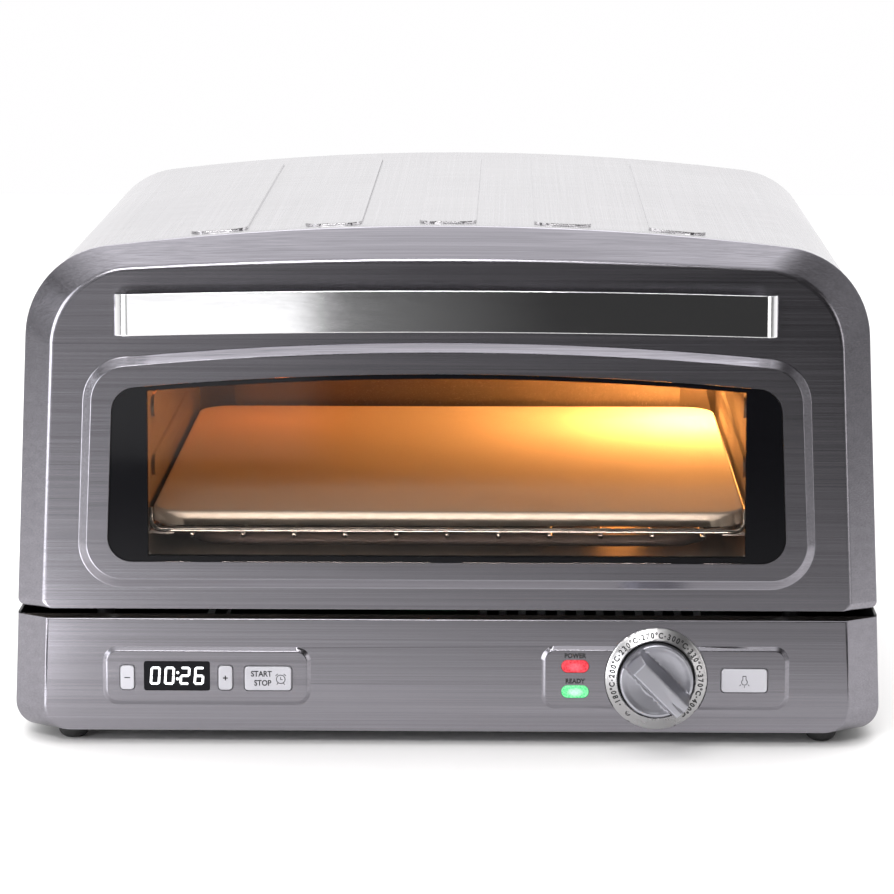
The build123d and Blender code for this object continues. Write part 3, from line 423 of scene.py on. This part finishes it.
finishes = {
    "brushed_steel": brushed("brushed_steel", (0.225, 0.218, 0.24), 0.23, 0.08, streak=0.1),
    "base_paint": coated("base_paint", (0.035, 0.035, 0.037), 0.42),
    "rear_steel": coated("rear_steel", (0.03, 0.03, 0.032), 0.46),
    "rear_plastic": coated("rear_plastic", (0.02, 0.02, 0.02), 0.5, 600.0, 0.4),
    "liner_enamel": enamelled(),
    "guide_steel": brushed("guide_steel", (0.62, 0.61, 0.60), 0.28, 0.12, (1300, 4, 1300)),
    "element_sheath": sheath(),
    "ceramic": coated("ceramic", (0.80, 0.78, 0.72), 0.55, 1200.0, 0.3),
    "lamp_glass": Finish("lamp_glass", Base_Color=(0.95, 0.9, 0.8), Roughness=0.2),
    "wool": woolFinish(),
    "gasket": coated("gasket", (0.03, 0.03, 0.03), 0.8, 500.0, 0.9),
    "board": boardFinish(),
    "black_plastic": coated("black_plastic", (0.02, 0.02, 0.022), 0.42),
    "window_black": displayFinish(),
    "red_lens": glowing("red_lens", "power_lens", (0.45, 0.0, 0.01), (1.0, 0.14, 0.19), 1.2),
    "green_lens": glowing("green_lens", "ready_lens", (0.0, 0.42, 0.10), (0.62, 1.0, 0.72), 1.4),
    "key_silver": coated("key_silver", (0.46, 0.455, 0.49), 0.38, 1400.0, 0.12),
    "dial_chrome": polished("dial_chrome", (0.40, 0.395, 0.40), 0.26),
    "knob_metal": polished("knob_metal", (0.42, 0.42, 0.46), 0.33, 0.0006),
    "polished_steel": polished("polished_steel", (0.86, 0.86, 0.87), 0.05, 0.0007),
    "bright_steel": brushed("bright_steel", (0.66, 0.66, 0.66), 0.25, 0.1),
    "door_inner_steel": brushed("door_inner_steel", (0.56, 0.55, 0.54), 0.34, 0.12),
    "door_glass": glassFinish("door_glass", 0.08),
    "rubber_foot": coated("rubber_foot", (0.015, 0.015, 0.015), 0.7, 700.0, 0.5),
    "rack_chrome": polished("rack_chrome", (0.36, 0.35, 0.34), 0.15),
    "cordierite": stoneFinish(),
}
printedGlass = glassFinish("printed_glass", 0.30, borderSet)
wrapSteel = brushed("wrap_steel", (0.36, 0.352, 0.365), 0.28, 0.08, (1300, 4, 1300))
inkBlack = coated("ink_black", (0.012, 0.012, 0.013), 0.5, 1200.0, 0.1)
# painted shadow: a black finish for the ring that darkens the gap round the knob
shadowGapBlack = coated("seal", (0.01, 0.01, 0.01), 0.7)
displayWhite = Finish("display_white", Base_Color=(0.8, 0.8, 0.8), Roughness=0.3, Emission_Strength=1.9)
litTone = displayWhite.mix(displayWhite.noise(500.0), (0.86, 0.90, 1.0), (1.0, 1.0, 1.0))
displayWhite.set(Emission_Color=litTone)
print("stage: finishes", len(finishes))


# ---- CAD pieces ----
def give(piece, finish):
    piece.data.materials.clear()
    piece.data.materials.append(finish.material)


def clearChoice():
    bpy.ops.object.select_all(action="DESELECT")


def choose(piece):
    clearChoice()
    piece.select_set(True)
    bpy.context.view_layer.objects.active = piece


def settle(piece, body, finish):
    # place into the mesh, then hand the piece to its body
    choose(piece)
    bpy.ops.object.transform_apply(location=True, rotation=True, scale=True)
    give(piece, finish)
    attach(piece, body)


shellSet = {"merge": 1e-6, "level": 0.1, "weight": 50, "segments": 3, "sharp": 50}


def smoothCopy(node, name, angle=28, finish=None, bevel=0.0, flat=False):
    # a joined, smooth-shaded copy stands for a CAD node whose curves would show facets
    piece = nodes[node].copy()
    piece.data = nodes[node].data.copy()
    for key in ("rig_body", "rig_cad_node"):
        if key in piece:
            del piece[key]
    piece.name = name
    piece.parent = None
    scene.collection.objects.link(piece)
    choose(piece)
    bpy.ops.object.mode_set(mode="EDIT")
    bpy.ops.mesh.select_all(action="SELECT")
    bpy.ops.mesh.remove_doubles(threshold=shellSet["merge"])
    if flat:  # flat sheet is made one face, so that it shades evenly up to its rounded edges
        bpy.ops.mesh.dissolve_limited(angle_limit=math.radians(shellSet["level"]))
    bpy.ops.object.mode_set(mode="OBJECT")
    bpy.ops.object.shade_smooth_by_angle(angle=math.radians(angle))
    if bevel:
        bpy.ops.object.modifier_add(type="BEVEL")
        softened = piece.modifiers[-1]
        softened.width = bevel
        softened.segments = shellSet["segments"]
        softened.limit_method = "ANGLE"
        softened.angle_limit = math.radians(shellSet["sharp"])
        bpy.ops.object.modifier_apply(modifier=softened.name)
    bpy.ops.object.modifier_add(type="WEIGHTED_NORMAL")
    shaded = piece.modifiers[-1]
    shaded.keep_sharp = True
    shaded.weight = shellSet["weight"]
    bpy.ops.object.modifier_apply(modifier=shaded.name)
    give(piece, finish or finishes[slotOf[node]])
    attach(piece, bodyOf[node])
    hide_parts(node)


for node, piece in nodes.items():
    give(piece, finishes[slotOf[node]])
give(nodes["outer_glass"], printedGlass)

# how each copy is shaded: the widest angle that stays smooth, in degrees, and what else it needs
sheet = {"angle": 16, "flat": True}
moulded = {"angle": 50}
bent = {"angle": 60}
shells = {
    "door_panel": sheet, "control_fascia": sheet, "housing_wrap": {**sheet, "finish": wrapSteel},
    "handle_bar": {"bevel": 0.7 * mm}, "temperature_knob": {"angle": 35}, "dial_ring": {"angle": 20},
    "base_tub": {}, "cavity_liner": {}, "stone_rack": bent, "pizza_stone": {},
    "upper_elements": bent, "lower_elements": bent,
    "foot_front_left": moulded, "foot_front_right": moulded, "foot_rear_left": moulded,
    "foot_rear_right": moulded, "power_lens": moulded, "ready_lens": moulded,
    "minus_button": moulded, "plus_button": moulded, "start_stop_button": moulded,
    "light_button": moulded, "rear_spacers": moulded, "door_gasket": {},
}
for node, choices in shells.items():
    smoothCopy(node, node + "_shell", **choices)
print("stage: shells", len(shells))


# ---- printed marks ----
def middleOf(node, rim=0.9 * mm):
    # middle of a control's outermost face, in the front's frame: right, up, out
    mesh = nodes[node].data
    spots = [frontFrame.inverted() @ (nodes[node].matrix_world @ corner.co) for corner in mesh.vertices]
    out = max(spot.z for spot in spots)
    across = [spot.x for spot in spots if spot.z > out - rim]
    up = [spot.y for spot in spots if spot.z > out - rim]
    return (min(across) + max(across)) / 2, (min(up) + max(up)) / 2, out


def stand(piece, spot, turn=0.0, tip=0.0):
    # sets a flat piece on the front at right, up, out; turned clockwise and tipped back
    local = Matrix.Translation(Vector(spot)) @ Matrix.Rotation(-turn, 4, "Z") @ Matrix.Rotation(tip, 4, "X")
    piece.matrix_world = frontFrame @ local


printSet = {"text": 0.04 * mm, "mark": 0.08 * mm, "swell": 0.022, "space": 0.7, "round": 20, "hoop": 48}


def word(text, size, spot, turn=0.0, tip=0.0, wide=0.9, bold=0.0):
    # a word as a thin raised print
    clearChoice()
    bpy.ops.object.text_add()
    piece = bpy.context.object
    piece.data.body = text
    piece.data.size = size
    piece.data.align_x = "CENTER"
    piece.data.align_y = "CENTER"
    piece.data.extrude = printSet["text"]
    piece.data.offset = printSet["swell"] * size + bold
    piece.data.space_character = 1.0 + printSet["space"] * bold / mm
    piece.data.resolution_u = 4
    bpy.ops.object.convert(target="MESH")
    piece = bpy.context.object
    piece.scale = (wide, 1, 1)
    bpy.ops.object.transform_apply(location=False, rotation=False, scale=True)
    stand(piece, spot, turn, tip)
    return piece


def bar(wide, tall, spot, turn=0.0):
    clearChoice()
    bpy.ops.mesh.primitive_cube_add(size=1)
    piece = bpy.context.object
    piece.scale = (wide, tall, printSet["mark"])
    bpy.ops.object.transform_apply(location=False, rotation=False, scale=True)
    stand(piece, spot, turn)
    return piece


def dot(radius, spot, turn=0.0, tip=0.0):
    clearChoice()
    bpy.ops.mesh.primitive_cylinder_add(vertices=printSet["round"], radius=radius, depth=printSet["mark"])
    piece = bpy.context.object
    stand(piece, spot, turn, tip)
    return piece


def hoop(outer, inner, spot, gap=0.0, thick=printSet["mark"]):
    # a flat ring, open at its top by gap, in radians
    clearChoice()
    bpy.ops.mesh.primitive_circle_add(vertices=printSet["hoop"], radius=outer, fill_type="NOTHING")
    piece = bpy.context.object
    bpy.ops.object.mode_set(mode="EDIT")
    if gap:
        bpy.ops.mesh.select_all(action="DESELECT")
        bpy.ops.object.mode_set(mode="OBJECT")
        for corner in piece.data.vertices:
            corner.select = abs(math.atan2(corner.co.x, corner.co.y)) < gap / 2
        bpy.ops.object.mode_set(mode="EDIT")
        bpy.ops.mesh.delete(type="VERT")
    bpy.ops.mesh.select_all(action="SELECT")
    bpy.ops.mesh.extrude_edges_move()
    bpy.ops.transform.resize(value=(inner / outer, inner / outer, 1))
    bpy.ops.mesh.select_all(action="SELECT")
    bpy.ops.mesh.extrude_region_move(TRANSFORM_OT_translate={"value": (0, 0, thick)})
    bpy.ops.mesh.select_all(action="SELECT")
    bpy.ops.mesh.normals_make_consistent(inside=False)
    bpy.ops.object.mode_set(mode="OBJECT")
    stand(piece, spot)
    return piece


def joined(pieces, name, body, finish):
    clearChoice()
    for piece in pieces:
        piece.select_set(True)
    bpy.context.view_layer.objects.active = pieces[0]
    if len(pieces) > 1:
        bpy.ops.object.join()
    piece = bpy.context.object
    piece.name = name
    settle(piece, body, finish)


# the dial: eight temperatures round the ring, dots between them, and the off mark
dialSet = {"labels": (180, 200, 230, 270, 300, 330, 370, 400), "unit": "°C", "first": -108.5, "step": 34.2,
           "size": 4.4 * mm, "wide": 0.84, "bold": 0.05 * mm, "radius": 23.9 * mm, "out": 2.76 * mm,
           "slope": 25.1, "digit": 2.6 * mm, "pitch": {"°": 1.7 * mm, "C": 2.9 * mm}, "dot": 0.45 * mm}
offSet = {"turn": -141, "outer": 1.5 * mm, "inner": 1.12 * mm, "gap": 1.3, "stroke": (0.4 * mm, 1.5 * mm),
          "rise": Vector((0, 1.3 * mm, 0.2 * mm))}
# the black ring in the gap round the knob is painted shadow
shadowGapSet = {"outer": 20.9 * mm, "inner": 8.8 * mm, "out": 0.85 * mm, "thick": 0.25 * mm}


def onDial(turn):
    # a place on the ring's sloping band, at an angle clockwise from the top
    return Vector((dialSet["radius"] * math.sin(turn), dialSet["radius"] * math.cos(turn), dialSet["out"]))


tip = -math.radians(dialSet["slope"])
prints = []
for place, degrees in enumerate(dialSet["labels"]):
    # the letters follow the ring one by one
    label = str(degrees) + dialSet["unit"]
    pitches = [dialSet["pitch"].get(letter, dialSet["digit"]) for letter in label]
    middle = math.radians(dialSet["first"] + place * dialSet["step"])
    along = -sum(pitches) / 2
    for letter, pitch in zip(label, pitches):
        turn = middle + (along + pitch / 2) / dialSet["radius"]
        along += pitch
        spot = onDial(turn)
        prints.append(word(letter, dialSet["size"], spot, turn, tip, dialSet["wide"], dialSet["bold"]))
    turn = math.radians(dialSet["first"] + (place - 0.5) * dialSet["step"])
    prints.append(dot(dialSet["dot"], onDial(turn), turn, tip))
offSpot = onDial(math.radians(offSet["turn"]))
prints.append(hoop(offSet["outer"], offSet["inner"], offSpot, offSet["gap"]))
prints.append(bar(*offSet["stroke"], offSpot + offSet["rise"]))
joined(prints, "dial_print", "chassis", inkBlack)

# painted shadow: a black ring set in the gap between the knob and the dial ring
shadowGapRing = hoop(shadowGapSet["outer"], shadowGapSet["inner"], (0, 0, shadowGapSet["out"]), thick=shadowGapSet["thick"])
joined([shadowGapRing], "dial_felt", "chassis", shadowGapBlack)

# words over the two lenses; the pad stands above the sunk display
lensSet = {"words": {"power_lens": "POWER", "ready_lens": "READY"}, "size": 3.5 * mm, "rise": 5.7 * mm,
           "wide": 0.92, "bold": 0.08 * mm, "displaySunk": 0.3 * mm, "proud": 0.05 * mm}
padOut = middleOf("display_window")[2] + lensSet["displaySunk"] + lensSet["proud"]
prints = []
for node, text in lensSet["words"].items():
    across, up, out = middleOf(node)
    spot = (across, up + lensSet["rise"], padOut)
    prints.append(word(text, lensSet["size"], spot, wide=lensSet["wide"], bold=lensSet["bold"]))
joined(prints, "lens_print", "chassis", inkBlack)

# key marks, all in mm from the middle of the key: bars are width, height, right, up, degrees clockwise,
# words are text, right, up, and rings are outer and inner radius, right, up and the gap at the top
keySet = {"raise": 0.03, "size": 4.3}
keyMarks = {
    "minus": {"bars": [(3.0, 0.55, 0, 0, 0)]},
    "plus": {"bars": [(2.6, 0.6, 0, 0, 0), (0.6, 2.6, 0, 0, 0)]},
    "start_stop": {
        "words": [("START", -3.6, 2.5), ("STOP", -2.9, -2.5)],
        "rings": [(2.5, 2.15, 6.9, -0.3, 0)],
        "bars": [(0.32, 1.5, 6.8, 0.2, 0), (1.2, 0.32, 7.3, -0.5, 0), (1.7, 0.35, 4.7, 2.1, -40),
                 (0.35, 1.1, 5.1, -2.8, 35), (1.7, 0.35, 9.1, 2.1, 40), (0.35, 1.1, 8.7, -2.8, -35)]},
    "light": {
        "rings": [(1.7, 1.35, 0, -0.7, 1.0)],
        "bars": [(0.35, 1.7, -0.85, 1.5, 0), (0.3, 1.1, -2.3, -2.4, 45), (0.35, 1.7, 0.85, 1.5, 0),
                 (0.3, 1.1, 2.3, -2.4, -45), (2.0, 0.4, 0, 2.5, 0), (0.3, 1.1, 0, -3.3, 0)]},
}
for key, marks in keyMarks.items():
    middle = Vector(middleOf(key + "_button"))
    prints = []
    for text, right, up in marks.get("words", []):
        prints.append(word(text, keySet["size"] * mm, middle + Vector((right, up, keySet["raise"])) * mm))
    for outer, inner, right, up, gap in marks.get("rings", []):
        spot = middle + Vector((right, up, keySet["raise"])) * mm
        prints.append(hoop(outer * mm, inner * mm, spot, gap))
    for wide, tall, right, up, degrees in marks["bars"]:
        spot = middle + Vector((right, up, keySet["raise"])) * mm
        prints.append(bar(wide * mm, tall * mm, spot, math.radians(degrees)))
    joined(prints, key + "_print", key + "_key", inkBlack)

# the clock's digits: one bar modelled, then copied
digitSet = {"text": "0026", "centres": (-11.8, -4.1, 4.3, 12.0), "wide": 4.3 * mm, "tall": 4.3 * mm,
            "stroke": 1.35 * mm, "thick": 0.1 * mm, "raise": 0.04 * mm, "lean": 4.0,
            "colon": 0.3 * mm, "colonRise": 1.7 * mm, "colonDot": 0.75 * mm}
lit = {"0": "abcdef", "2": "abged", "6": "acdefg"}
half, tall = digitSet["wide"] / 2, digitSet["tall"]
strokes = {"a": (0, tall, 90), "d": (0, -tall, 90), "g": (0, 0, 90), "b": (half, tall / 2, 0),
           "c": (half, -tall / 2, 0), "f": (-half, tall / 2, 0), "e": (-half, -tall / 2, 0)}
clearChoice()
bpy.ops.mesh.primitive_cylinder_add(vertices=6, radius=digitSet["stroke"] / 2, depth=digitSet["thick"])
stroke = bpy.context.object
bpy.ops.object.mode_set(mode="EDIT")
bpy.ops.mesh.select_all(action="DESELECT")
bpy.ops.object.mode_set(mode="OBJECT")
for corner in stroke.data.vertices:
    corner.select = corner.co.y > 0
bpy.ops.object.mode_set(mode="EDIT")
stretch = tall - digitSet["stroke"]
bpy.ops.transform.translate(value=(0, stretch, 0))
bpy.ops.mesh.select_all(action="SELECT")
bpy.ops.transform.translate(value=(0, -stretch / 2, 0))
bpy.ops.object.mode_set(mode="OBJECT")
across, up, out = middleOf("display_window")
out += digitSet["raise"]
lean = math.radians(digitSet["lean"])
pieces = []
for centre, digit in zip(digitSet["centres"], digitSet["text"]):
    for letter in lit[digit]:
        right, high, quarter = strokes[letter]
        piece = stroke.copy()
        piece.data = stroke.data.copy()
        scene.collection.objects.link(piece)
        spot = (across + centre * mm + right + high * math.tan(lean), up + high, out)
        stand(piece, spot, math.radians(quarter) if quarter else lean)
        pieces.append(piece)
for high in (-digitSet["colonRise"], digitSet["colonRise"]):
    spot = (across + digitSet["colon"] + high * math.tan(lean), up + high, out)
    pieces.append(dot(digitSet["colonDot"], spot))
bpy.data.objects.remove(stroke)
joined(pieces, "display_digits", "chassis", displayWhite)
print("stage: printed marks")

# ---- studio ----
# each pair is where a soft step lies and how wide it is
floorSet = {"wide": 60.0, "front": -3.0, "back": 2.3, "tone": (0.90, 0.895, 0.89), "dark": (0.03, 0.03, 0.03),
            "fade": (-1.6, 2.2), "ovenFront": 0.2, "wedgeFrom": 0.1, "wedgeLow": (0.55, 0.25),
            "wedgeHigh": (2.0, 0.8), "wedgeStart": (0.04, 0.05), "shadeRight": (-0.1, 0.45),
            "shadeAhead": (0.26, 0.06), "shade": 0.55}
clearChoice()
bpy.ops.mesh.primitive_plane_add(size=1, location=(0, (floorSet["front"] + floorSet["back"]) / 2, 0))
floor = bpy.context.object
floor.scale = (floorSet["wide"], floorSet["back"] - floorSet["front"], 1)
bpy.ops.object.transform_apply(location=True, rotation=False, scale=True)
floor.name = "floor"
floorFinish = Finish("floor", Roughness=0.55)
floorRight, floorBack, _ = floorFinish.axes("Object")
pale = floorFinish.mix(floorFinish.noise(2.0), tinted(floorSet["tone"], 0.98), floorSet["tone"])
# painted light and shade on the floor: dark far in front, with a pale painted wedge to the left that the
# left-hand edges mirror
ahead = (-floorBack - floorSet["ovenFront"]).most(0.02)
aside = (-floorRight - floorSet["wedgeFrom"]) / ahead
wedge = aside.above(*floorSet["wedgeLow"]) * aside.below(*floorSet["wedgeHigh"])
paintedFloorLight = floorBack.above(*floorSet["fade"]).most(wedge * ahead.above(*floorSet["wedgeStart"]))
# painted shade on the floor, darker to the right ahead of the oven
shade = floorRight.above(*floorSet["shadeRight"]) * ahead.above(*floorSet["shadeAhead"])
paintedFloorLight = paintedFloorLight * (1.0 - shade * floorSet["shade"])
floorFinish.set(Base_Color=floorFinish.mix(paintedFloorLight, floorSet["dark"], pale))
give(floor, floorFinish)

# the room's light by direction: bright behind and above, cards to the left, dark in front
studioSet = {
    "colour": (1.0, 0.995, 1.0), "dim": 0.04,
    "rear": {"light": 1.3, "back": (0.1, 0.6)},
    "overhead": {"light": 2.0, "up": (0.72, 0.5), "right": (0.3, 0.3)},
    "card": {"light": 1.35, "from": (0.056, 0.012), "to": (0.42, 0.2), "low": 0.03, "tall": (0.035, 0.04)},
    "veil": {"light": 0.16, "from": (0.02, 0.06)},
    "leftSoft": {"light": 0.40, "from": (0.12, 0.16), "up": (0.45, 0.4)},
    "sideCard": {"light": 1.5, "from": (0.6, 0.25), "to": (1.9, 0.6), "up": (0.35, 0.3)},
    "rightCard": {"light": 0.5, "from": (1.6, 0.6), "to": (5.0, 2.0)},
    "front": (0.02, 0.02),
}
world = bpy.data.worlds.new("studio")
scene.world = world
sky = Tree(world)
right, back, up = sky.axes("Generated")
leftward = -right / (-back).most(0.01)
parts = {name: values for name, values in studioSet.items() if isinstance(values, dict)}
rear = back.above(*parts["rear"]["back"])
overhead = up.above(*parts["overhead"]["up"]) * right.below(*parts["overhead"]["right"])
level = (up + parts["card"]["low"]).size().below(*parts["card"]["tall"])
card = leftward.above(*parts["card"]["from"]) * leftward.below(*parts["card"]["to"]) * parts["card"]["light"]
card = card.most(leftward.above(*parts["veil"]["from"]) * parts["veil"]["light"]) * level
leftSoft = leftward.above(*parts["leftSoft"]["from"]) * up.below(*parts["leftSoft"]["up"])
sideCard = leftward.above(*parts["sideCard"]["from"]) * leftward.below(*parts["sideCard"]["to"])
sideCard = sideCard * up.below(*parts["sideCard"]["up"])
rightCard = (-leftward).above(*parts["rightCard"]["from"]) * (-leftward).below(*parts["rightCard"]["to"])
cards = card.most(rightCard * parts["rightCard"]["light"]).most(leftSoft * parts["leftSoft"]["light"])
cards = cards.most(sideCard * parts["sideCard"]["light"]) * (-back).above(*studioSet["front"])
studio = (rear * parts["rear"]["light"]).most(overhead * parts["overhead"]["light"]).most(cards)
studio = studio + studioSet["dim"]
# the backdrop itself is plain white
seen = sky.node("LightPath", output="Is Camera Ray")
background = sky.tree.nodes["Background"]
sky.feed(background, "Strength", studio * (1.0 - seen) + seen)
sky.feed(background, "Color", studioSet["colour"])
print("stage: studio")
